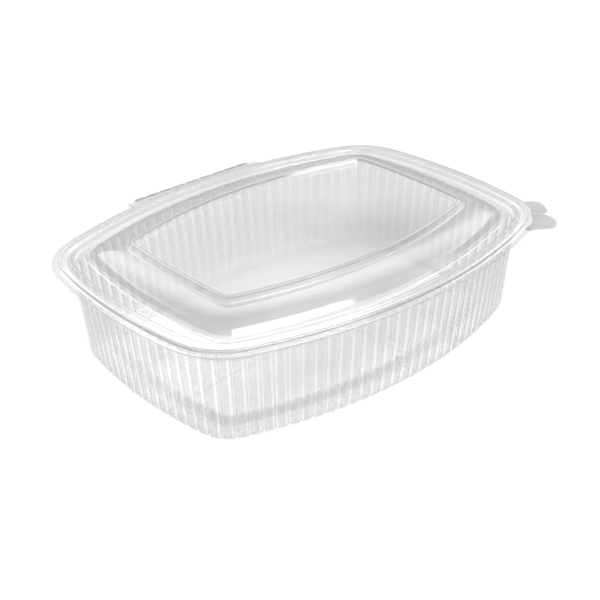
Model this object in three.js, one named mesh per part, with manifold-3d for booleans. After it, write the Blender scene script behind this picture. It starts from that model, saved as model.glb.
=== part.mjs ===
// Clear hinged-lid meal container, closed and empty. Millimetres, +Z up.
// The foot stands on z = 0, the long side runs along X and the hinge is at the back, on the +Y side.
import * as THREE from 'three';
import { mergeVertices } from 'three/addons/utils/BufferGeometryUtils.js';
import Module from 'manifold-3d';

const wasm = await Module();
wasm.setup();

// Plan outlines: half length, half width, radius of the bowed long sides, of the bowed short sides
// and of the corners.
const RIM = { a: 115, b: 85.9, longR: 259, shortR: 271.5, corner: 32.6 };
const PLUG = { a: 108.8, b: 80.3, longR: 244, shortR: 265, corner: 23 };
const DOME = { a: 99.5, b: 73.8, longR: 245, shortR: 256, corner: 15 };
const RIDGE = { a: 79.9, b: 51.5, longR: 232, shortR: 420, corner: 6 };
const WALL_TOP = { a: 108.5, b: 79.4, longR: 250, shortR: 262, corner: 26 };
const FOOT = { a: 104, b: 75.4, longR: 249, shortR: 246, corner: 18.4 };
const STEP = { a: 92.9, b: 64.3, longR: 239, shortR: 235, corner: 10 };

const SHEET = 0.6;
const FLOOR_RISE = 4.6;
const FOOT_EDGE = 1.4;
const FOOT_EDGE_HEIGHT = 2.4;
const RIB_TOP = 48.2;
const LEDGE = 50.1;
const TRAY_FLANGE = { top: 51.6, reach: 3.8 };
const TRAY_BEAD_TOP = 53.5;
const LID_FLANGE = { top: 52.5, reach: 3.1 };
const LID_BEAD_TOP = 54.4;
const GROOVE_FLOOR = 51.2;
const PANEL = 58.4;
const RIDGE_TOP = 61.1;
const NEST_GAP = 0.5;

const RIBS = 96;
const RIB_DEPTH = 1.1;
const RIB_FLAT = 0.33;
const GROOVE_EDGE = 0.39;
const STEP_RIB_DEPTH = 1;

const HINGE = { outerY: 92.6, halfLength: 44, fullHalfLength: 37.5, earY: 90, notches: 8, notchPitch: 8.9 };
const NOTCH = { width: 1.2, depth: 0.9 };
const TAB_SHEET = 0.5;

// Moves the origin to the middle of the whole container, hinge included.
const CENTRE_Y = (HINGE.outerY - RIM.b - TRAY_FLANGE.reach) / 2;

function grow(plan, by) {
  return {
    a: plan.a + by,
    b: plan.b + by,
    longR: plan.longR + by,
    shortR: plan.shortR + by,
    corner: Math.max(plan.corner + by, 1),
  };
}

function blend(from, to, share) {
  const mixed = {};
  for (const key of Object.keys(from)) {
    mixed[key] = from[key] + (to[key] - from[key]) * share;
  }
  return mixed;
}

// Arcs of one quarter of the outline, from the end of the X axis to the end of the Y axis.
function quarterArcs(plan) {
  const long = new THREE.Vector2(0, plan.b - plan.longR);
  const short = new THREE.Vector2(plan.a - plan.shortR, 0);
  const toLong = plan.longR - plan.corner;
  const toShort = plan.shortR - plan.corner;
  const across = short.clone().sub(long);
  const gap = across.length();
  across.normalize();
  const along = (toLong * toLong - toShort * toShort + gap * gap) / (2 * gap);
  const side = Math.sqrt(Math.max(toLong * toLong - along * along, 0));
  const corner = long.clone().addScaledVector(across, along);
  corner.x += across.y * side;
  corner.y -= across.x * side;
  const endOfShort = Math.atan2(corner.y - short.y, corner.x - short.x);
  const startOfLong = Math.atan2(corner.y - long.y, corner.x - long.x);
  return [
    { centre: short, radius: plan.shortR, from: 0, to: endOfShort },
    { centre: corner, radius: plan.corner, from: endOfShort, to: startOfLong },
    { centre: long, radius: plan.longR, from: startOfLong, to: Math.PI / 2 },
  ];
}

function onArc(arc, share) {
  const angle = arc.from + (arc.to - arc.from) * share;
  return [arc.centre.x + arc.radius * Math.cos(angle), arc.centre.y + arc.radius * Math.sin(angle)];
}

// Point at a share of the way round, counted anticlockwise from the end of the X axis.
function pointAt(plan, share) {
  const turn = (share - Math.floor(share)) * 4;
  const quarter = Math.min(Math.floor(turn), 3);
  const forward = quarter % 2 === 0;
  const arcs = quarterArcs(plan);
  const lengths = arcs.map((arc) => arc.radius * (arc.to - arc.from));
  let rest = (forward ? turn - quarter : quarter + 1 - turn) * (lengths[0] + lengths[1] + lengths[2]);
  let which = 0;
  while (which < 2 && rest > lengths[which]) {
    rest -= lengths[which];
    which += 1;
  }
  const [x, y] = onArc(arcs[which], rest / lengths[which]);
  return [quarter === 1 || quarter === 2 ? -x : x, quarter > 1 ? -y : y];
}

// A plain ring for the lid: the same number of points on each arc of every ring.
function lidRing(plan, z) {
  const quarter = [];
  quarterArcs(plan).forEach((arc, which) => {
    const steps = [5, 6, 6][which];
    for (let i = 0; i < steps; i += 1) {
      quarter.push(onArc(arc, i / steps));
    }
  });
  quarter.push([0, plan.b]);
  const last = quarter.length - 1;
  const ring = [];
  for (let i = 0; i < last; i += 1) ring.push([quarter[i][0], quarter[i][1], z]);
  for (let i = last; i > 0; i -= 1) ring.push([-quarter[i][0], quarter[i][1], z]);
  for (let i = 0; i < last; i += 1) ring.push([-quarter[i][0], -quarter[i][1], z]);
  for (let i = last; i > 0; i -= 1) ring.push([quarter[i][0], -quarter[i][1], z]);
  return ring;
}

// A plain ring for the tray: one point at the middle of each rib.
function plainRing(plan, z) {
  const ring = [];
  for (let i = 0; i < RIBS; i += 1) {
    ring.push([...pointAt(plan, i / RIBS), z]);
  }
  return ring;
}

// A ribbed ring: four points for each rib, two on its face and two in the groove beside it.
function ribRing(plan, z, depth) {
  const inner = grow(plan, -depth);
  const ring = [];
  for (let i = 0; i < RIBS; i += 1) {
    ring.push([...pointAt(plan, (i - RIB_FLAT) / RIBS), z]);
    ring.push([...pointAt(plan, (i + RIB_FLAT) / RIBS), z]);
    ring.push([...pointAt(inner, (i + GROOVE_EDGE) / RIBS), z]);
    ring.push([...pointAt(inner, (i + 1 - GROOVE_EDGE) / RIBS), z]);
  }
  return ring;
}

// Skins a list of rings into one closed body, from a centre point below to a centre point above.
function skin(rings, lowCentre, highCentre) {
  const positions = [];
  const faces = [];
  const starts = [];
  for (const ring of rings) {
    starts.push(positions.length / 3);
    for (const point of ring) positions.push(...point);
  }
  const low = positions.length / 3;
  positions.push(...lowCentre);
  const high = low + 1;
  positions.push(...highCentre);

  const first = rings[0].length;
  const final = rings[rings.length - 1].length;
  const lastStart = starts[rings.length - 1];
  for (let i = 0; i < first; i += 1) faces.push(low, (i + 1) % first, i);
  for (let i = 0; i < final; i += 1) faces.push(high, lastStart + i, lastStart + (i + 1) % final);

  for (let k = 0; k + 1 < rings.length; k += 1) {
    const here = rings[k].length;
    const next = rings[k + 1].length;
    const a = (i) => starts[k] + i % here;
    const b = (i) => starts[k + 1] + i % next;
    for (let i = 0; i < Math.min(here, next); i += 1) {
      const r = 4 * i;
      if (here === next) {
        faces.push(a(i), a(i + 1), b(i + 1), a(i), b(i + 1), b(i));
      } else if (here > next) {
        faces.push(a(r), a(r + 1), b(i), a(r + 1), a(r + 2), b(i), a(r + 2), b(i + 1), b(i));
        faces.push(a(r + 2), a(r + 3), b(i + 1), a(r + 3), a(r + 4), b(i + 1));
      } else {
        faces.push(a(i), b(r + 1), b(r), a(i), b(r + 2), b(r + 1), a(i), a(i + 1), b(r + 2));
        faces.push(a(i + 1), b(r + 3), b(r + 2), a(i + 1), b(r + 4), b(r + 3));
      }
    }
  }
  const geometry = new THREE.BufferGeometry();
  geometry.setAttribute('position', new THREE.Float32BufferAttribute(positions, 3));
  geometry.setIndex(faces);
  return geometry;
}

function toSolid(geometry) {
  const bare = geometry.clone();
  bare.deleteAttribute('normal');
  bare.deleteAttribute('uv');
  const merged = mergeVertices(bare, 1e-4);
  return new wasm.Manifold(new wasm.Mesh({
    numProp: 3,
    vertProperties: new Float32Array(merged.attributes.position.array),
    triVerts: new Uint32Array(merged.index.array),
  }));
}

function toGeometry(solid) {
  const mesh = solid.getMesh();
  const geometry = new THREE.BufferGeometry();
  geometry.setAttribute('position', new THREE.BufferAttribute(new Float32Array(mesh.vertProperties), 3));
  geometry.setIndex(new THREE.BufferAttribute(new Uint32Array(mesh.triVerts), 1));
  geometry.computeVertexNormals();
  return geometry;
}

function plate(shape, bottom) {
  const geometry = new THREE.ExtrudeGeometry(shape, { depth: TAB_SHEET, bevelEnabled: false, curveSegments: 3 });
  geometry.translate(0, 0, bottom);
  return toSolid(geometry);
}

// Straight fold strip behind the curved rim, with small notches along its outer edge.
function hingeStrip(bottom) {
  const inner = grow(RIM, 1.3);
  const rootY = (x) => inner.b - inner.longR + Math.sqrt(inner.longR * inner.longR - x * x);
  const shape = new THREE.Shape();
  shape.moveTo(-HINGE.halfLength, rootY(HINGE.halfLength));
  for (let i = 1; i <= 10; i += 1) {
    const x = HINGE.halfLength * (i / 5 - 1);
    shape.lineTo(x, rootY(x));
  }
  shape.lineTo(HINGE.halfLength, HINGE.earY);
  shape.lineTo(HINGE.fullHalfLength + 2, HINGE.earY);
  shape.lineTo(HINGE.fullHalfLength, HINGE.outerY);
  for (let i = HINGE.notches - 1; i >= 0; i -= 1) {
    const x = (i - (HINGE.notches - 1) / 2) * HINGE.notchPitch;
    shape.lineTo(x + NOTCH.width / 2, HINGE.outerY);
    shape.lineTo(x, HINGE.outerY - NOTCH.depth);
    shape.lineTo(x - NOTCH.width / 2, HINGE.outerY);
  }
  shape.lineTo(-HINGE.fullHalfLength, HINGE.outerY);
  shape.lineTo(-HINGE.fullHalfLength - 2, HINGE.earY);
  shape.lineTo(-HINGE.halfLength, HINGE.earY);
  shape.closePath();
  return plate(shape, bottom);
}

// Rounded finger tab at the front right corner: a smooth lobe that grows out of the rim.
function fingerTab(tab, bottom) {
  const shape = new THREE.Shape();
  shape.moveTo(...tab.lobe[0]);
  shape.splineThru(tab.lobe.slice(1).map(([x, y]) => new THREE.Vector2(x, y)));
  for (let i = 0; i <= 4; i += 1) {
    const share = tab.rootFrom + (tab.rootTo - tab.rootFrom) * i / 4;
    shape.lineTo(...pointAt(grow(RIM, 1.4), share));
  }
  shape.closePath();
  return plate(shape, bottom);
}

const TRAY_TAB = {
  lobe: [[106.4, -63.2], [109, -65.9], [110.2, -69.5], [108.9, -74.6], [105.3, -78.7], [100.4, -80.3],
    [96, -78.2], [92.6, -75.4], [88, -74.6]],
  rootFrom: 0.878,
  rootTo: 0.908,
};
const LID_TAB = {
  lobe: [[112.9, -51.5], [116.6, -53.6], [117.9, -57.6], [115.4, -62.9], [112.4, -66.6], [109.4, -67.4],
    [106.6, -65.2], [105, -62.2]],
  rootFrom: 0.908,
  rootTo: 0.926,
};

function makeTray() {
  const rings = [
    ribRing(grow(STEP, -1.6), FLOOR_RISE - SHEET, STEP_RIB_DEPTH),
    ribRing(STEP, 0, STEP_RIB_DEPTH),
    ribRing(grow(FOOT, -FOOT_EDGE), 0, RIB_DEPTH),
    ribRing(FOOT, FOOT_EDGE_HEIGHT, RIB_DEPTH),
    ribRing(WALL_TOP, RIB_TOP - 0.4, RIB_DEPTH),
    plainRing(grow(PLUG, 1.7), LEDGE - 0.3),
    plainRing(grow(PLUG, 1.7), TRAY_BEAD_TOP - SHEET),
    plainRing(grow(RIM, -0.6 - NEST_GAP - SHEET), TRAY_BEAD_TOP - SHEET),
    plainRing(grow(RIM, -0.4 - NEST_GAP - SHEET), TRAY_FLANGE.top - SHEET),
    plainRing(grow(RIM, TRAY_FLANGE.reach), TRAY_FLANGE.top - SHEET),
    plainRing(grow(RIM, TRAY_FLANGE.reach), TRAY_FLANGE.top),
    plainRing(grow(RIM, -0.4 - NEST_GAP), TRAY_FLANGE.top),
    plainRing(grow(RIM, -0.6 - NEST_GAP), TRAY_BEAD_TOP),
    plainRing(grow(PLUG, 0.6 + NEST_GAP), TRAY_BEAD_TOP),
    plainRing(grow(PLUG, 0.6 + NEST_GAP), LEDGE),
    ribRing(grow(WALL_TOP, -SHEET), RIB_TOP, RIB_DEPTH),
    ribRing(grow(FOOT, -SHEET), FOOT_EDGE_HEIGHT + 0.2, RIB_DEPTH),
    ribRing(grow(FOOT, -FOOT_EDGE - 0.3), SHEET, RIB_DEPTH),
    ribRing(grow(STEP, 0.4), SHEET, STEP_RIB_DEPTH),
    ribRing(grow(STEP, -1.2), FLOOR_RISE, STEP_RIB_DEPTH),
  ];
  const shell = skin(rings, [0, 0, FLOOR_RISE - SHEET], [0, 0, FLOOR_RISE]);
  const sheet = TRAY_FLANGE.top - (SHEET + TAB_SHEET) / 2;
  return toSolid(shell)
    .add(hingeStrip(sheet))
    .add(fingerTab(TRAY_TAB, sheet));
}

// Height of the dome between its base and the foot of the ridge.
const DOME_CURVE = [[0, GROOVE_FLOOR], [0.06, 53.3], [0.16, 54.9], [0.34, 56.4], [0.62, 57.4], [1, 57.9]];

function makeLid() {
  const ridgeFoot = grow(RIDGE, 1.6);
  const under = grow(DOME, -0.5);
  const rings = [lidRing(grow(RIDGE, -2.2), PANEL - SHEET)];
  for (let i = DOME_CURVE.length - 1; i >= 0; i -= 1) {
    const [share, z] = DOME_CURVE[i];
    rings.push(lidRing(blend(under, ridgeFoot, share), z - SHEET));
  }
  rings.push(
    lidRing(grow(PLUG, -0.4), GROOVE_FLOOR - SHEET),
    lidRing(grow(PLUG, 0.6), LID_BEAD_TOP - SHEET),
    lidRing(grow(RIM, -0.6), LID_BEAD_TOP - SHEET),
    lidRing(grow(RIM, -0.4), LID_FLANGE.top - SHEET),
    lidRing(grow(RIM, LID_FLANGE.reach), LID_FLANGE.top - SHEET),
    lidRing(grow(RIM, LID_FLANGE.reach), LID_FLANGE.top),
    lidRing(grow(RIM, 0.3), LID_FLANGE.top),
    lidRing(RIM, LID_BEAD_TOP - 0.3),
    lidRing(grow(RIM, -0.4), LID_BEAD_TOP),
    lidRing(grow(PLUG, 0.3), LID_BEAD_TOP),
    lidRing(PLUG, LID_BEAD_TOP - 0.3),
    lidRing(grow(PLUG, -1), GROOVE_FLOOR),
  );
  for (const [share, z] of DOME_CURVE) {
    rings.push(lidRing(blend(DOME, ridgeFoot, share), z));
  }
  rings.push(
    lidRing(RIDGE, RIDGE_TOP),
    lidRing(grow(RIDGE, -1.3), RIDGE_TOP),
    lidRing(grow(RIDGE, -2.2), PANEL),
  );
  const shell = skin(rings, [0, 0, PANEL - SHEET], [0, 0, PANEL]);
  const sheet = LID_FLANGE.top - (SHEET + TAB_SHEET) / 2;
  return toSolid(shell)
    .add(hingeStrip(sheet))
    .add(fingerTab(LID_TAB, sheet));
}

function clearPlastic() {
  return new THREE.MeshStandardMaterial({
    color: 0xe9eeef,
    roughness: 0.12,
    metalness: 0,
    transparent: true,
    opacity: 0.35,
  });
}

const container = new THREE.Group();
for (const [name, solid] of [['tray', makeTray()], ['lid', makeLid()]]) {
  const mesh = new THREE.Mesh(toGeometry(solid), clearPlastic());
  mesh.name = name;
  mesh.position.y = -CENTRE_Y;
  container.add(mesh);
}

export default container;
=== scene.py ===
import math

import bpy
import numpy as np
from mathutils import Matrix, Vector


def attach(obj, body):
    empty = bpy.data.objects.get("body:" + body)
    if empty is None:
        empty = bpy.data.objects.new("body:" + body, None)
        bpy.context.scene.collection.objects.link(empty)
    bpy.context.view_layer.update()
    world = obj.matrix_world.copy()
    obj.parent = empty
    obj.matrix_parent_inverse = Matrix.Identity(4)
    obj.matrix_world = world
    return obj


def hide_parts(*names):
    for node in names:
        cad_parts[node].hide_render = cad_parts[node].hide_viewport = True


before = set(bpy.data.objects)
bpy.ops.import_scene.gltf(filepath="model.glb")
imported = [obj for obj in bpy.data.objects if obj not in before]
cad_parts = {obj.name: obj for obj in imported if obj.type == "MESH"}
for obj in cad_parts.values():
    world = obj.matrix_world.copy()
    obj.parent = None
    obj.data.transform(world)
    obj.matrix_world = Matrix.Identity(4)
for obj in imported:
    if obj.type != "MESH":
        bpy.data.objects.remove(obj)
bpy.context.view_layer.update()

# Dimensions, in millimetres
# Plan outlines: half length, half width, radius of the bowed long sides, of the short sides, of the corners.
RIM = np.array([115, 85.9, 259, 271.5, 32.6])
PLUG = np.array([108.8, 80.3, 244, 265, 23])
DOME = np.array([99.5, 73.8, 245, 256, 15])
RIDGE = np.array([79.9, 51.5, 232, 420, 6])
WALL_TOP = np.array([108.5, 79.4, 250, 262, 26])
FOOT = np.array([104, 75.4, 249, 246, 18.4])
STEP = np.array([92.9, 64.3, 239, 235, 10])
CENTRE_Y = 1.45

SHEET = 0.34
# How much thinner the sheet is at its free edges, on each side.
EDGE_THINNING = 0.13
FLOOR_Z = 4.6
WALL_TOP_Z = 45.2
TRAY_FLANGE_Z, TRAY_BEAD_Z = 51.6, 53.5
LID_GROOVE_Z, LID_FLANGE_Z, LID_BEAD_Z = 51.2, 52.5, 54.4
PANEL_Z, RIDGE_TOP_Z = 58.4, 61.1
# How far the flanges reach out from the rim.
TRAY_REACH, LID_REACH = 3.8, 3.1

# The dome between its edge and the ridge: share of the way in, height and rounding. None rounds all it can.
DOME_CURVE = [(0.035, 52.4, 1.0), (0.195, 55.5, 1.2), (0.37, 56.7, None), (0.65, 57.55, None)]
RIDGE_FOOT = 1.6

# Ribs. Places across a rib are shares of the rib pitch, from the middle of its face.
RIBS = 96
RIB_DEPTH = 1.1
STEP_RIB_DEPTH = 1.0
FACE_END = 0.265
SLOPE_WIDTH = 0.19
# How far to each side of a slope's middle the painted highlight reaches, making the sheet lighter.
SLOPE_HIGHLIGHT = 0.1
# A face is slightly crowned: it falls by FACE_CROWN of the rib's depth out to CROWN_AT.
FACE_CROWN, CROWN_AT = 0.07, 0.3
HALF_RIB = [0.262, 0.292, 0.325, 0.36, 0.395, 0.428, 0.46]
RIB_PHASES = np.array([-x for x in HALF_RIB[::-1]] + [0] + HALF_RIB)
# How far the slopes of a rib lie nearer to its middle on the inside of the sheet.
INNER_SHIFT = 0.024

# Finger tabs: points along each free edge.
TRAY_LOBE = [(88, -74.6), (92.6, -75.4), (96, -78.2), (100.4, -80.3), (105.3, -78.7), (108.9, -74.6),
             (110.2, -69.5), (109, -65.9), (106.4, -63.2)]
LID_LOBE = [(105, -62.2), (106.6, -65.2), (109.4, -67.4), (112.4, -66.6), (115.4, -62.9), (117.9, -57.6),
            (116.6, -53.6), (112.9, -51.5)]
TAB_POINTS = 36
# How near to the tab and to a marked point an ordinary point is left out, in q.
TAB_MARGIN, MARK_MARGIN = 0.02, 0.004

# Hinge strip: it is full width out to HINGE_FULL, and a lower ear follows out to HINGE_HALF.
FOLD_Y, FOLD_Z = 92.7, 51.75
# The tray's half of the strip reaches NEAR above and FAR below the fold, the lid's half the other way round.
FOLD_NEAR, FOLD_FAR = 0.08, 0.12
HINGE_FULL, HINGE_HALF = 37.5, 44.0
EAR_SLOPE = 2.0
EAR_Y = 90.0
EAR_ROUND, EAR_GAP = 0.15, 0.03
NOTCH_X = [(i - 3.5) * 8.9 for i in range(8)]
NOTCH_HALF, NOTCH_DEPTH, NOTCH_CLEAR = 0.6, 0.9, 0.3

# Points round the flange, for each of the twelve arcs of its outline.
ARC_POINTS = [22, 22, 28, 28, 22, 22] * 2
# Rings of the flange, as shares of the way from the bead's foot to the free edge.
FLANGE_RINGS = (0.2, 0.5, 0.78, 0.9, 1.0)
HAZY_RINGS = (0.5, 0.78)
FOLD_RINGS = (0.78, 0.9, 1.0)
FOLD_START = 0.5

# How clear the sheet is: 1 is water clear. Part of it is painted shade: the walls, the step and the dome
# are darker than the floor and the panel of the same sheet. Thin bends are lighter than broad faces, a
# painted highlight; cut edges are darker.
WALL_TINT_AND_SHADE, STEP_TINT_AND_SHADE, BASE_TINT = 0.76, 0.88, 1.0
PANEL_TINT, DOME_TINT_AND_SHADE, RIM_TINT, TAB_TINT = 1.0, 0.79, 1.0, 0.75
FOLD_TINT, LID_EDGE_TINT = 0.66, 0.75
# Painted light and shade on the ridge: lighter and darker bands by height.
RIDGE_PAINTED_LIGHT_Z = [58.4, 58.9, 59.6, 60.0, 60.5, 60.8, 61.1]
RIDGE_PAINTED_LIGHT = [0.94, 0.97, 0.97, 0.82, 0.8, 1, 1]
# How much of their tint the wall's bends and rib slopes lose: a painted highlight.
# After it, how much darker steep faces are elsewhere, and the outer face of the lid's bead: painted shade,
# and on the bead a painted dark reflection.
EDGE_HIGHLIGHT_SHARE, STEEP_SHADE_SHARE, BEAD_SHADE_SHARE = 0.75, 0.14, 0.3
# How quickly the painted highlight on a bend grows as it gets sharper.
BEND_HIGHLIGHT_GAIN = 2.5
# How hazy it is: 0 is polished.
RIM_ROUGH, WALL_ROUGH, PANEL_ROUGH, DOME_ROUGH, FLANGE_ROUGH, TAB_ROUGH = 0.02, 0.05, 0.09, 0.09, 0.22, 0.5
# Where the tints, with their painted shade, and the haze of the tray's wall begin and end, by height.
STEP_DARK_FROM, STEP_DARK_TO, WALL_HAZE_FROM, WALL_DARK_TO = 0.3, 4.1, 20, 48.6


# Outlines
def grow(plan, by):
    """The outline moved out by a distance. Its corners stay round."""
    out = np.array(plan, float) + by
    out[4] = max(out[4], 1.0)
    return out


def arcs(plan):
    """Centres, radii and angles of the three arcs of one quarter."""
    a, b, long_r, short_r, corner_r = plan
    long_c, short_c = np.array([0, b - long_r]), np.array([a - short_r, 0])
    across = short_c - long_c
    gap = np.hypot(*across)
    across = across / gap
    to_long, to_short = long_r - corner_r, short_r - corner_r
    along = (to_long**2 - to_short**2 + gap**2) / (2 * gap)
    side = math.sqrt(max(to_long**2 - along**2, 0))
    corner_c = long_c + across * along + np.array([across[1], -across[0]]) * side
    end = math.atan2(*(corner_c - short_c)[::-1])
    start = math.atan2(*(corner_c - long_c)[::-1])
    return [
        (short_c, short_r, 0, end),
        (corner_c, corner_r, end, start),
        (long_c, long_r, start, math.pi / 2),
    ]


def outline(plan, q):
    """Points of the outline. q runs from 0 to 12, three arcs to a quarter, anticlockwise from the +X end."""
    q = np.mod(np.asarray(q, float), 12)
    quarter = np.minimum(np.floor(q / 3), 3).astype(int)
    local = np.where(quarter % 2 == 0, q - 3 * quarter, 3 * quarter + 3 - q)
    which = np.clip(np.floor(local), 0, 2).astype(int)
    part = local - which
    x, y = np.zeros_like(q), np.zeros_like(q)
    for i, (centre, radius, start, end) in enumerate(arcs(plan)):
        angle = start + (end - start) * part
        x = np.where(which == i, centre[0] + radius * np.cos(angle), x)
        y = np.where(which == i, centre[1] + radius * np.sin(angle), y)
    left, front = (quarter == 1) | (quarter == 2), quarter > 1
    return np.column_stack([np.where(left, -x, x), np.where(front, -y, y)])


def lengths(plan):
    """How far round the outline each of its arcs starts."""
    one = np.array([radius * (end - start) for _, radius, start, end in arcs(plan)])
    return np.concatenate([[0], np.cumsum(np.concatenate([one, one[::-1], one, one[::-1]]))])


def q_of_share(plan, share):
    """The q at a share of the way round the outline."""
    run = lengths(plan)
    return np.interp(np.mod(share, 1) * run[-1], run, np.arange(13))


def share_of_q(plan, q):
    """The share of the way round the outline at q."""
    run = lengths(plan)
    return np.interp(np.mod(q, 12), np.arange(13), run) / run[-1]


def smooth(x):
    """An even step from 0 to 1."""
    x = np.clip(x, 0, 1)
    return x * x * (3 - 2 * x)


# Ribs
def rib_shares(shift):
    """Places of the ribs' points, as shares of the way round, with the slopes moved in by shift."""
    phase = RIB_PHASES - np.sign(RIB_PHASES) * shift
    return (np.arange(RIBS)[:, None] + phase[None, :]).ravel() / RIBS


def rib_phase(share):
    """Distance from the middle of the nearest rib, as a share of the rib pitch."""
    return np.abs(np.mod(share * RIBS + 0.5, 1) - 0.5)


def rib_inset(share, shift):
    """0 in the middle of a rib's face and 1 in the groove beside it."""
    phase = rib_phase(share)
    ramp = smooth((phase - FACE_END + shift) / SLOPE_WIDTH)
    return ramp + FACE_CROWN * (1 - ramp) * (phase / CROWN_AT) ** 2


def rib_edge(share, shift):
    """1 on the slopes between a rib's face and the grooves beside it, where the painted highlight goes."""
    middle = FACE_END + SLOPE_WIDTH / 2
    return 1 - np.clip(np.abs(rib_phase(share) + shift - middle) / SLOPE_HIGHLIGHT, 0, 1) ** 2


# Profiles. A row is an outline's five numbers, its height and the depth of its ribs.
def length(way):
    """How far apart two rows are that differ by this much."""
    return math.hypot((way[0] + way[1]) / 2, way[5])


def steepness(tangent):
    """1 where the profile goes straight up, 0 where it is level and -1 where it goes straight down."""
    return tangent[5] / length(tangent)


def profile(stations, steps=4):
    """Rounds the corners of a list of (outline, height, rib depth, rounding).

    Returns a list of rows, each with its tangent and with how sharply the sheet bends there, 0 to 1.
    """
    points = np.array([np.concatenate([plan, [z, depth]]) for plan, z, depth, _ in stations])
    found = [(points[0], points[1] - points[0], 0.0)]
    for k in range(1, len(points) - 1):
        before, after = points[k] - points[k - 1], points[k + 1] - points[k]
        to_last, to_next = length(before), length(after)
        rounding = stations[k][3]
        if rounding == 0:
            found.append((points[k], before / to_last + after / to_next, 0.0))
            continue
        want = math.inf if rounding is None else rounding
        start = points[k] - before * min(want / to_last, 0.5)
        end = points[k] + after * min(want / to_next, 0.5)
        turn = 1 - (length(before / to_last + after / to_next) / 2) ** 2
        for i in range(steps):
            t = i / (steps - 1)
            point = (1 - t) ** 2 * start + 2 * t * (1 - t) * points[k] + t * t * end
            tangent = (1 - t) * (points[k] - start) + t * (end - points[k])
            sharp = rounding is not None and 0 < i < steps - 1
            found.append((point, tangent, min(turn * BEND_HIGHLIGHT_GAIN, 1.0) if sharp else 0.0))
    found.append((points[-1], points[-1] - points[-2], 0.0))
    rows = []
    for point, tangent, bend in found:
        if not rows or length(point - rows[-1][0]) >= 1e-6:
            rows.append((point, tangent / length(tangent), bend))
    return rows


def ring_at(row, tangent, places, offset, shift, ribbed):
    """Points of one ring, offset from the profile to its left-hand side."""
    normal = np.array([-tangent[5], (tangent[0] + tangent[1]) / 2])
    normal = normal / np.hypot(*normal)
    plan = grow(row[:5], normal[0] * offset)
    if ribbed:
        inner = grow(plan, -max(row[6], 0))
        inset = rib_inset(places, shift)[:, None]
        face = outline(plan, q_of_share(plan, places))
        groove = outline(inner, q_of_share(inner, places))
        xy = face * (1 - inset) + groove * inset
    else:
        xy = outline(plan, places)
    return np.column_stack([xy, np.full(len(xy), row[5] + normal[1] * offset)])


def surface(row, tangent, places, offset, shift, ribbed):
    """Points and normals of one ring. Its places are shares of the way round if ribbed, otherwise q."""
    step_round, step_along = (1e-5 if ribbed else 1e-3), 0.01

    def at(moved, where):
        return ring_at(moved, tangent, where, offset, shift, ribbed)

    around = at(row, places + step_round) - at(row, places - step_round)
    along = at(row + tangent * step_along, places) - at(row - tangent * step_along, places)
    normals = np.cross(along, around)
    normals /= np.linalg.norm(normals, axis=1)[:, None]
    return at(row, places), normals


# Mesh
# The least cosine between a corner's normal and its face's.
NORMAL_AGREES = 0.2


class Sheet:
    """A thin closed skin made of an upper and a lower surface."""

    def __init__(self):
        self.points, self.normals, self.faces, self.tints, self.roughs = [], [], [], [], []
        self.count = 0

    def add(self, points, normals, tint, bend=0.0, rough=RIM_ROUGH):
        """Adds points and returns the number of the first. A bend makes them lighter, a painted highlight.
        """
        start = self.count
        self.roughs.append(np.broadcast_to(rough, len(points)))
        self.tints.append(np.broadcast_to(tint + (1 - tint) * bend, len(points)))
        self.points.append(points)
        self.normals.append(normals)
        self.count += len(points)
        return start

    def ring(self, a, b, n, up):
        """Quads between two rings of n points that start at vertex a and b."""
        i = np.arange(n)
        j = (i + 1) % n
        quad = np.column_stack([a + i, b + i, b + j, a + j])
        self.faces += (quad if up else quad[:, ::-1]).tolist()

    def stitch(self, a, share_a, b, share_b, up):
        """Triangles between two rings with different numbers of points."""
        count_a, count_b, i, j = len(share_a), len(share_b), 0, 0
        share_a = np.append(share_a, share_a[0] + 1)
        share_b = np.append(share_b, share_b[0] + 1)
        while i < count_a or j < count_b:
            if j >= count_b or (i < count_a and share_a[i + 1] <= share_b[j + 1]):
                corners = [a + i % count_a, b + j % count_b, a + (i + 1) % count_a]
                i += 1
            else:
                corners = [a + i % count_a, b + j % count_b, b + (j + 1) % count_b]
                j += 1
            self.faces.append(corners if up else corners[::-1])

    def middle(self, edge, scales, z, up, tint, rough):
        """A flat middle: a centre point with rings of the edge's shape round it. Returns the last ring."""
        count, way = len(edge), [0, 0, 1.0 if up else -1.0]
        centre = self.add(np.array([[0, 0, z]]), np.array([way]), tint, 0, rough)
        previous = None
        for scale in scales:
            points = np.column_stack([edge * scale, np.full(count, z)])
            here = self.add(points, np.tile(way, (count, 1)), tint, 0, rough)
            if previous is None:
                corners = [[centre, here + i, here + (i + 1) % count] for i in range(count)]
                self.faces += corners if up else [c[::-1] for c in corners]
            else:
                self.ring(previous, here, count, up)
            previous = here
        return previous

    def make(self, name):
        """The finished object. A corner whose normal points well away from its face's takes the face's."""
        points = np.concatenate(self.points)
        points[:, 1] -= CENTRE_Y
        mesh = bpy.data.meshes.new(name)
        mesh.from_pydata((points * 0.001).tolist(), [], self.faces)
        mesh.validate()
        mesh.shade_smooth()
        corners = np.zeros(len(mesh.loops), np.int32)
        mesh.loops.foreach_get("vertex_index", corners)
        normals = np.concatenate(self.normals)[corners]
        face_normals = np.zeros(len(mesh.polygons) * 3, np.float32)
        mesh.polygons.foreach_get("normal", face_normals)
        totals = np.zeros(len(mesh.polygons), np.int32)
        mesh.polygons.foreach_get("loop_total", totals)
        face_normals = np.repeat(face_normals.reshape(-1, 3), totals, axis=0)
        away = np.einsum("ij,ij->i", normals, face_normals) < NORMAL_AGREES
        normals[away] = face_normals[away]
        mesh.normals_split_custom_set(normals.tolist())
        # The points keep their tint, with painted light and shade in it, and their haze.
        for label, values in (("tint", self.tints), ("rough", self.roughs)):
            values = np.concatenate(values).astype(np.float32)
            mesh.attributes.new(label, "FLOAT", "POINT").data.foreach_set("value", values)
        obj = bpy.data.objects.new(name, mesh)
        bpy.context.scene.collection.objects.link(obj)
        return obj


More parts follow.
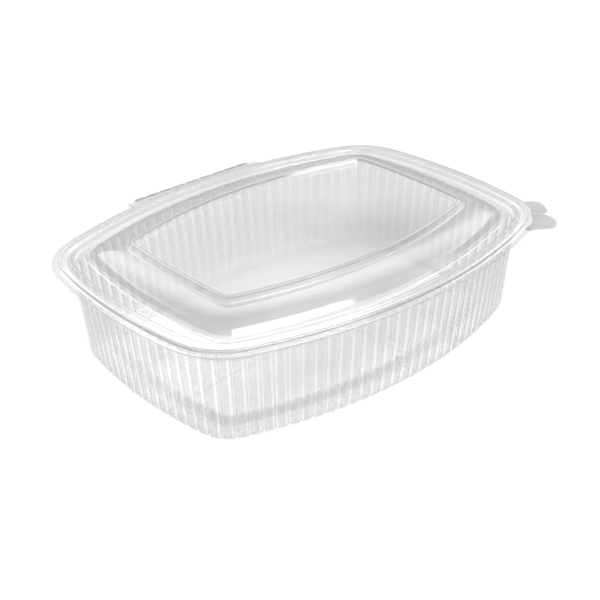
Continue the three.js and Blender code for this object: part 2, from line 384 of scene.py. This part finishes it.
# Flange with its half of the hinge strip and its finger tab
def spline(points, t):
    """Smooth curve through the points, t from 0 to 1 by chord length."""
    p = np.array(points, float)
    chord = np.concatenate([[0], np.cumsum(np.hypot(*np.diff(p, axis=0).T))])
    x = np.asarray(t) * chord[-1]
    slope = np.gradient(p, chord, axis=0)
    k = np.clip(np.searchsorted(chord, x, side="right") - 1, 0, len(p) - 2)
    h = (chord[k + 1] - chord[k])[:, None]
    s = ((x - chord[k]) / (chord[k + 1] - chord[k]))[:, None]
    return ((2 * s**3 - 3 * s**2 + 1) * p[k] + (s**3 - 2 * s**2 + s) * h * slope[k]
            + (-2 * s**3 + 3 * s**2) * p[k + 1] + (s**3 - s**2) * h * slope[k + 1])


def nearest_q(plan, point):
    q = np.linspace(0, 12, 24001)
    away = outline(plan, q) - np.array(point)
    return q[np.argmin((away**2).sum(1))]


def flange_places(reach, lobe):
    """The places round the flange where points are needed, and where the tab starts and ends."""
    plan = grow(RIM, reach)
    base = np.concatenate([np.arange(n) / n + k for k, n in enumerate(ARC_POINTS)])
    marks = [x + d for x in NOTCH_X for d in (-NOTCH_HALF, 0, NOTCH_HALF)]
    ear_end = (HINGE_HALF - EAR_ROUND, HINGE_HALF - EAR_GAP, HINGE_HALF + EAR_GAP)
    for x in (HINGE_FULL, HINGE_FULL + EAR_SLOPE, *ear_end):
        marks += [x, -x]
    back = np.linspace(2, 4, 8001)
    back_x = outline(plan, back)[:, 0]
    special = [back[np.argmin(abs(back_x - x))] for x in marks]
    start, end = nearest_q(plan, lobe[0]), nearest_q(plan, lobe[-1])
    on_tab = (base > start - TAB_MARGIN) & (base < end + TAB_MARGIN)
    close = np.abs(base[:, None] - np.array(special)[None, :]).min(1) < MARK_MARGIN
    tab = np.linspace(start, end, TAB_POINTS)
    return np.sort(np.concatenate([base[~on_tab & ~close], special, tab])), start, end


def flange_outline(reach, lobe):
    """Places round the flange, its free edge, and which points belong to the hinge strip and to the tab."""
    q, start, end = flange_places(reach, lobe)
    edge = outline(grow(RIM, reach), q)
    on_lobe = (q >= start) & (q <= end)
    edge[on_lobe] = spline(lobe, (q[on_lobe] - start) / (end - start))
    x, from_middle = edge[:, 0], np.abs(edge[:, 0])
    hinge = (edge[:, 1] > 0) & (from_middle < HINGE_HALF)
    strip_x = [0, HINGE_FULL, HINGE_FULL + EAR_SLOPE, HINGE_HALF - EAR_ROUND, HINGE_HALF - EAR_GAP]
    y = np.interp(from_middle, strip_x, [FOLD_Y, FOLD_Y, EAR_Y, EAR_Y, EAR_Y - EAR_ROUND])
    for middle in NOTCH_X:
        y -= NOTCH_DEPTH * np.clip(1 - np.abs(x - middle) / NOTCH_HALF, 0, 1)
    edge[hinge, 1] = y[hinge]
    folds = hinge & (from_middle < HINGE_FULL + EAR_SLOPE / 2)
    return q, edge, folds, (q > start) & (q < end)


def add_flange(sheet, flange, root_plan, z_side, z_fold, up, edge_tint, haze):
    """Rings from the foot of the bead out to the free edge. Returns the starts of the first and the last."""
    q, edge, folds, tab = flange
    root = outline(root_plan, q)
    in_notch = np.abs(edge[:, :1] - np.array(NOTCH_X)).min(1) < NOTCH_CLEAR
    starts = []
    for share in FLANGE_RINGS:
        drop = smooth((share - FOLD_START) / (1 - FOLD_START))
        z = np.where(folds, z_side + (z_fold - z_side) * drop, z_side)
        tint = np.where(tab, TAB_TINT, RIM_TINT)
        if share == 1:
            z = z + (-EDGE_THINNING if up else EDGE_THINNING)
            tint = edge_tint
        if share in FOLD_RINGS:
            tint = np.where(folds, np.where(in_notch, 1.0, FOLD_TINT), tint)
        rough = np.where(tab, TAB_ROUGH, haze if share in HAZY_RINGS else RIM_ROUGH)
        points = np.column_stack([root * (1 - share) + edge * share, z])
        normals = np.tile([0, 0, 1.0 if up else -1.0], (len(q), 1))
        starts.append(sheet.add(points, normals, tint, 0, rough))
        if len(starts) > 1:
            sheet.ring(starts[-2], starts[-1], len(q), up)
    return starts[0], starts[-1]


# Tray
def tray_look(row):
    """Tint, with painted shade in it, and haze of the ribbed part of the tray."""
    if row[0] < STEP[0] + 2:
        tint = STEP_TINT_AND_SHADE if STEP_DARK_FROM < row[5] < STEP_DARK_TO else BASE_TINT
    else:
        tint = WALL_TINT_AND_SHADE if row[5] < WALL_DARK_TO else RIM_TINT
    return tint, WALL_ROUGH if row[5] > WALL_HAZE_FROM else RIM_ROUGH


def build_tray():
    skin, thick = Sheet(), SHEET
    wall = profile([
        (grow(STEP, -5), FLOOR_Z - thick, 0, 0),
        (grow(STEP, -1.6), FLOOR_Z - thick, STEP_RIB_DEPTH, 0.8),
        (grow(STEP, 0), 0, STEP_RIB_DEPTH, 0.8),
        (grow(FOOT, -0.15), 0, RIB_DEPTH, 2.2),
        (grow(FOOT, 0.3), 5.2, RIB_DEPTH, 2.6),
        (WALL_TOP, WALL_TOP_Z, RIB_DEPTH, 1.2),
        (grow(WALL_TOP, 0.15), WALL_TOP_Z + 2.4, 0.1, 0.8),
        (grow(PLUG, 0.9 + thick), 49.9 - thick, 0, 0),
    ])
    rim = profile([
        (grow(WALL_TOP, 0.15), WALL_TOP_Z + 2.4, 0.1, 0.8),
        (grow(PLUG, 1.1 + thick), 50.1 - thick, 0, 0.6),
        (grow(PLUG, 1.1 + thick), TRAY_BEAD_Z - thick, 0, 0.7),
        (grow(RIM, -1.1 - thick), TRAY_BEAD_Z - thick, 0, 0.7),
        (grow(RIM, -0.9 - thick), TRAY_FLANGE_Z - thick, 0, 0.6),
        (grow(RIM, 1.0), TRAY_FLANGE_Z - thick, 0, 0),
    ])[1:]
    rim_end = rim[-1][0][:5]
    flange = flange_outline(TRAY_REACH, TRAY_LOBE)
    q = flange[0]
    half_rib = 0.5 / RIBS
    floor_shares = np.arange(RIBS) / RIBS
    floor_plan = wall[0][0][:5]
    floor_edge = outline(floor_plan, q_of_share(floor_plan, floor_shares))
    ends = []
    for up in (False, True):
        offset, inner_shift, sign = (thick, INNER_SHIFT, 1) if up else (0.0, 0.0, -1)
        floor_z = FLOOR_Z if up else FLOOR_Z - thick
        previous = skin.middle(floor_edge, (0.35, 0.7), floor_z, up, BASE_TINT, RIM_ROUGH)
        for k, (row, tangent, bend) in enumerate(wall):
            shift = inner_shift * steepness(tangent)
            shares = rib_shares(shift)
            points, normals = surface(row, tangent, shares, offset, shift, True)
            tint, rough = tray_look(row)
            # Painted highlight: bends and rib slopes are made lighter.
            painted_highlight = np.maximum(bend, rib_edge(shares, shift) * min(row[6], 1)) * EDGE_HIGHLIGHT_SHARE
            here = skin.add(points, normals * sign, tint, painted_highlight, rough)
            if k == 0:
                skin.stitch(previous, floor_shares + half_rib, here, shares + half_rib, up)
            else:
                skin.ring(previous, here, len(shares), up)
            previous = here
        for k, (row, tangent, bend) in enumerate(rim):
            points, normals = surface(row, tangent, q, offset, 0, False)
            # Painted shade: steep faces of the rim are darker.
            tint = RIM_TINT * (1 - STEEP_SHADE_SHARE * steepness(tangent) ** 4)
            here = skin.add(points, normals * sign, tint, bend)
            if k == 0:
                skin.stitch(previous, shares + half_rib, here, share_of_q(row[:5], q) + half_rib, up)
            else:
                skin.ring(previous, here, len(q), up)
            previous = here
        flange_z = TRAY_FLANGE_Z if up else TRAY_FLANGE_Z - thick
        fold_z = FOLD_Z + FOLD_NEAR if up else FOLD_Z - FOLD_FAR
        start, end = add_flange(skin, flange, rim_end, flange_z, fold_z, up, RIM_TINT, FLANGE_ROUGH)
        skin.ring(previous, start, len(q), up)
        ends.append(end)
    skin.ring(ends[1], ends[0], len(q), True)
    return skin.make("tray_shell")


# Lid
def lid_look(row, tangent, bend):
    """Tint, bend and haze of the lid. Tint here is partly painted shade and the bend a painted highlight. On
    the ridge, painted light and shade go by height, and no bend lightens it.
    """
    from_middle = row[0]
    if RIDGE[0] - 2.5 < from_middle < RIDGE[0] + RIDGE_FOOT + 0.1:
        # Painted light and shade on the ridge, by height.
        tint, bend = np.interp(row[5], RIDGE_PAINTED_LIGHT_Z, RIDGE_PAINTED_LIGHT), 0
    else:
        # Painted shade: steep faces are darker, and the bead's outer face gets a painted dark reflection.
        darker = BEAD_SHADE_SHARE if from_middle > PLUG[0] + 3 else STEEP_SHADE_SHARE
        inner = PANEL_TINT if from_middle < RIDGE[0] else DOME_TINT_AND_SHADE
        tint = (inner if from_middle < DOME[0] - 1 else RIM_TINT) * (1 - darker * steepness(tangent) ** 4)
    if from_middle < DOME[0] - 0.6:
        return tint, bend, PANEL_ROUGH if from_middle < RIDGE[0] else DOME_ROUGH
    return tint, bend, RIM_ROUGH


def build_lid():
    skin, thick = Sheet(), SHEET
    foot = grow(RIDGE, RIDGE_FOOT)
    stations = [
        (grow(RIDGE, -12), PANEL_Z, 0, 0),
        (grow(RIDGE, -2.2), PANEL_Z, 0, 0.9),
        (grow(RIDGE, -1.8), 59.75, 0, 0),
        (grow(RIDGE, -1.6), 60.3, 0, 0),
        (grow(RIDGE, -1.3), RIDGE_TOP_Z, 0, 0.6),
        (RIDGE, RIDGE_TOP_Z, 0, 0.6),
        (grow(RIDGE, 0.4), 60.3, 0, 0),
        (grow(RIDGE, 0.675), 59.75, 0, 0),
        (foot, 57.9, 0, 0.9),
    ]
    stations += [(DOME + (foot - DOME) * share, z, 0, rounding) for share, z, rounding in DOME_CURVE[::-1]]
    stations += [
        (DOME, LID_GROOVE_Z, 0, 0.7),
        (grow(PLUG, -1), LID_GROOVE_Z, 0, 0.7),
        (PLUG, LID_BEAD_Z, 0, 0.6),
        (grow(RIM, -0.1), LID_BEAD_Z, 0, 0.7),
        (grow(RIM, 0.3), LID_FLANGE_Z, 0, 0.7),
        (grow(RIM, 1.6), LID_FLANGE_Z, 0, 0),
    ]
    rows = profile(stations, 5)
    rim_end = rows[-1][0][:5]
    flange = flange_outline(LID_REACH, LID_LOBE)
    q = flange[0]
    panel_edge = outline(rows[0][0][:5], q)
    ends = []
    for up in (True, False):
        offset, sign = (0.0, 1) if up else (-thick, -1)
        previous = skin.middle(panel_edge, (0.3, 0.6, 0.85), PANEL_Z + offset, up, PANEL_TINT, PANEL_ROUGH)
        for row, tangent, bend in rows:
            points, normals = surface(row, tangent, q, offset, 0, False)
            here = skin.add(points, normals * sign, *lid_look(row, tangent, bend))
            skin.ring(previous, here, len(q), up)
            previous = here
        fold_z = FOLD_Z + FOLD_FAR if up else FOLD_Z - FOLD_NEAR
        flange_z = LID_FLANGE_Z + offset
        start, end = add_flange(skin, flange, rim_end, flange_z, fold_z, up, LID_EDGE_TINT, RIM_ROUGH)
        skin.ring(previous, start, len(q), up)
        ends.append(end)
    skin.ring(ends[0], ends[1], len(q), True)
    return skin.make("lid_shell")


# Shader nodes
def calc(tree, operation, *values):
    """The result of a Math node. Each value is a number or another node's output."""
    made = tree.nodes.new("ShaderNodeMath")
    made.operation = operation
    for socket, value in zip(made.inputs, values):
        if hasattr(value, "links"):
            tree.links.new(value, socket)
        else:
            socket.default_value = value
    return made.outputs[0]


def ease(tree, value, low=0.0, high=1.0, floor=0.0):
    """An even step from floor to 1 as the value goes from low to high."""
    made = tree.nodes.new("ShaderNodeMapRange")
    made.interpolation_type = "SMOOTHSTEP"
    made.inputs["From Min"].default_value = low
    made.inputs["From Max"].default_value = high
    made.inputs["To Min"].default_value = floor
    tree.links.new(value, made.inputs["Value"])
    return made.outputs["Result"]


def coordinates(tree, kind):
    """The X, Y and Z outputs of one kind of coordinates, and the vector itself."""
    vector = tree.nodes.new("ShaderNodeTexCoord").outputs[kind]
    parts = tree.nodes.new("ShaderNodeSeparateXYZ")
    tree.links.new(vector, parts.inputs[0])
    return (*parts.outputs, vector)


def white_to_camera(tree, light):
    """Full white where the camera looks straight at it, otherwise the light given."""
    return calc(tree, "MAXIMUM", light, tree.nodes.new("ShaderNodeLightPath").outputs["Is Camera Ray"])


def point_value(tree, name):
    """A value that the mesh keeps on its points."""
    made = tree.nodes.new("ShaderNodeAttribute")
    made.attribute_name = name
    return made.outputs["Fac"]


# Material
CLEAR_IOR = 1.56
WAVE_SCALE, WAVE_DETAIL = 38.0, 2.0
WAVE_STRENGTH, WAVE_HEIGHT = 0.012, 0.002
# How much the waves also vary the tint.
CLOUDING = 0.05


def clear_sheet():
    """Clear plastic with faint waves. Its colour, partly painted light and shade, and its haze come from the
    mesh's points.
    """
    material = bpy.data.materials.new("clear_sheet")
    material.use_nodes = True
    tree = material.node_tree
    plastic = tree.nodes["Principled BSDF"].inputs
    plastic["Transmission Weight"].default_value = 1.0
    plastic["IOR"].default_value = CLEAR_IOR
    waves = tree.nodes.new("ShaderNodeTexNoise")
    waves.inputs["Scale"].default_value = WAVE_SCALE
    waves.inputs["Detail"].default_value = WAVE_DETAIL
    tree.links.new(tree.nodes.new("ShaderNodeTexCoord").outputs["Object"], waves.inputs["Vector"])
    bump = tree.nodes.new("ShaderNodeBump")
    bump.inputs["Strength"].default_value = WAVE_STRENGTH
    bump.inputs["Distance"].default_value = WAVE_HEIGHT
    tree.links.new(waves.outputs["Fac"], bump.inputs["Height"])
    tree.links.new(bump.outputs["Normal"], plastic["Normal"])
    tree.links.new(point_value(tree, "rough"), plastic["Roughness"])
    cloudy = calc(tree, "MULTIPLY_ADD", waves.outputs["Fac"], CLOUDING, point_value(tree, "tint"))
    clear = calc(tree, "SUBTRACT", cloudy, CLOUDING / 2)
    clear.node.use_clamp = True
    grey = tree.nodes.new("ShaderNodeMix")
    grey.data_type = "RGBA"
    grey.inputs["A"].default_value = (0, 0, 0, 1)
    grey.inputs["B"].default_value = (1, 1, 1, 1)
    tree.links.new(clear, grey.inputs["Factor"])
    tree.links.new(grey.outputs["Result"], plastic["Base Color"])
    return material


# Floor, in metres
# Just over 1, so that the background is still pure white after denoising.
FLOOR_LIGHT = 1.03
FLOOR_HALF = 4.0
FLOOR_DROP = 0.0002
# Soft shade under the container: middle, half sizes, and how much light is left there.
SHADES = [
    (-0.015, -0.038, 0.15, 0.04, 0.76),
    (0.11, 0.045, 0.075, 0.06, 0.7),
    (-0.03, 0.045, 0.06, 0.045, 0.76),
    (0.085, 0.1, 0.05, 0.04, 0.85),
    (0.02, 0.03, 0.17, 0.15, 0.87),
]


def floor_paper():
    """White where it is seen directly. Through the container it shows the softer light under it."""
    paper = bpy.data.materials.new("floor")
    paper.use_nodes = True
    tree = paper.node_tree
    tree.nodes.remove(tree.nodes["Principled BSDF"])
    floor_x, floor_y, _, _ = coordinates(tree, "Object")
    light = FLOOR_LIGHT
    for x, y, half_x, half_y, left in SHADES:
        dx = calc(tree, "MULTIPLY", calc(tree, "SUBTRACT", floor_x, x), 1 / half_x)
        dy = calc(tree, "MULTIPLY", calc(tree, "SUBTRACT", floor_y, y), 1 / half_y)
        squares = calc(tree, "ADD", calc(tree, "MULTIPLY", dx, dx), calc(tree, "MULTIPLY", dy, dy))
        light = calc(tree, "MULTIPLY", ease(tree, calc(tree, "SQRT", squares), floor=left), light)
    glow = tree.nodes.new("ShaderNodeEmission")
    tree.links.new(white_to_camera(tree, light), glow.inputs["Strength"])
    tree.links.new(glow.outputs[0], tree.nodes["Material Output"].inputs["Surface"])
    return paper


def build_floor():
    half = FLOOR_HALF
    mesh = bpy.data.meshes.new("floor")
    corners = [(-half, -half, 0), (half, -half, 0), (half, half, 0), (-half, half, 0)]
    mesh.from_pydata(corners, [], [(0, 1, 2, 3)])
    mesh.materials.append(floor_paper())
    floor = bpy.data.objects.new("floor", mesh)
    floor.location.z = -FLOOR_DROP
    bpy.context.scene.collection.objects.link(floor)
    return floor


# Light
# The room is dim on the camera's side. Behind the container is a backdrop with a bright window across it.
BACKDROP = (0.657, 0.754, 0.0)
BACKDROP_EDGE = (0.0, 0.35)
# The window fades in between the first two heights of a ray's direction and out between the others.
WINDOW_LOW, WINDOW_HIGH = (0.468, 0.525), (0.54, 0.78)
ROOM, LOW_LIGHT, WINDOW_LIGHT = 0.4, 0.6, 2.4
SOFTBOX_AIM = Vector((0, 0, 0.05))
SOFTBOX_DISTANCE, SOFTBOX_RADIANCE = 1.2, 6.0


def light_room():
    world = bpy.data.worlds.new("studio")
    bpy.context.scene.world = world
    world.use_nodes = True
    tree = world.node_tree
    _, _, height, way = coordinates(tree, "Generated")
    facing = tree.nodes.new("ShaderNodeVectorMath")
    facing.operation = "DOT_PRODUCT"
    facing.inputs[1].default_value = BACKDROP
    tree.links.new(way, facing.inputs[0])
    behind = ease(tree, facing.outputs["Value"], *BACKDROP_EDGE)
    above_sill = ease(tree, height, *WINDOW_LOW)
    below_top = calc(tree, "SUBTRACT", 1.0, ease(tree, height, *WINDOW_HIGH))
    window = calc(tree, "MULTIPLY", above_sill, below_top)
    low = calc(tree, "SUBTRACT", 1.0, above_sill)
    window_glow = calc(tree, "MULTIPLY", window, WINDOW_LIGHT - ROOM)
    glow = calc(tree, "ADD", window_glow, calc(tree, "MULTIPLY", low, LOW_LIGHT - ROOM))
    radiance = calc(tree, "ADD", calc(tree, "MULTIPLY", glow, behind), ROOM)
    background = tree.nodes["Background"]
    tree.links.new(white_to_camera(tree, radiance), background.inputs["Strength"])
    background.inputs["Color"].default_value = (1, 1, 1, 1)


def softbox(name, direction, width, height):
    """A rectangular light of an even brightness, facing the container."""
    data = bpy.data.lights.new(name, "AREA")
    data.shape = "RECTANGLE"
    data.size, data.size_y = width, height
    data.energy = SOFTBOX_RADIANCE * width * height * math.pi
    obj = bpy.data.objects.new(name, data)
    way = Vector(direction).normalized()
    obj.location = SOFTBOX_AIM + way * SOFTBOX_DISTANCE
    obj.rotation_mode = "QUATERNION"
    obj.rotation_quaternion = way.to_track_quat("Z", "Y")
    bpy.context.scene.collection.objects.link(obj)


# Camera. Its heading is from +X, and its tilt is below the horizon.
CAMERA_AT = (-0.355846, -0.408318, 0.317286)
HEADING, TILT, ROLL = math.radians(48.93626), math.radians(29.27329), math.radians(-0.69)
SENSOR, LENS = 36.0, 71.5116


def place_camera():
    data = bpy.data.cameras.new("camera")
    data.sensor_width, data.lens = SENSOR, LENS
    data.clip_start, data.clip_end = 0.01, 50
    camera = bpy.data.objects.new("camera", data)
    ahead = Vector((math.cos(HEADING), math.sin(HEADING), 0))
    forward = ahead * math.cos(TILT) - Vector((0, 0, math.sin(TILT)))
    right = Vector((ahead.y, -ahead.x, 0))
    up = right.cross(forward)
    rolled_right = right * math.cos(ROLL) + up * math.sin(ROLL)
    rolled_up = up * math.cos(ROLL) - right * math.sin(ROLL)
    rotation = Matrix((rolled_right, rolled_up, -forward)).transposed()
    camera.matrix_world = Matrix.Translation(CAMERA_AT) @ rotation.to_4x4()
    bpy.context.scene.collection.objects.link(camera)
    bpy.context.scene.camera = camera


# Clear sheets lie many deep here, so light is followed through many of them.
BOUNCES = 96


def set_render():
    scene = bpy.context.scene
    scene.view_settings.view_transform = "Standard"
    scene.view_settings.look = "None"
    scene.cycles.max_bounces = BOUNCES
    scene.cycles.transmission_bounces = BOUNCES
    scene.cycles.glossy_bounces = BOUNCES
    scene.cycles.transparent_max_bounces = 16
    scene.cycles.sample_clamp_indirect = 4.0
    scene.cycles.use_denoising = True


# The scene
tray, lid = build_tray(), build_lid()
plastic = clear_sheet()
for piece, body in ((tray, "tray"), (lid, "lid")):
    piece.data.materials.append(plastic)
    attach(piece, body)
    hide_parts(body)

build_floor()
light_room()
softbox("key", (0.06, -0.53, 0.845), 0.95, 0.42)
softbox("front", (0.12, -0.98, 0.2), 0.7, 0.22)
place_camera()
set_render()
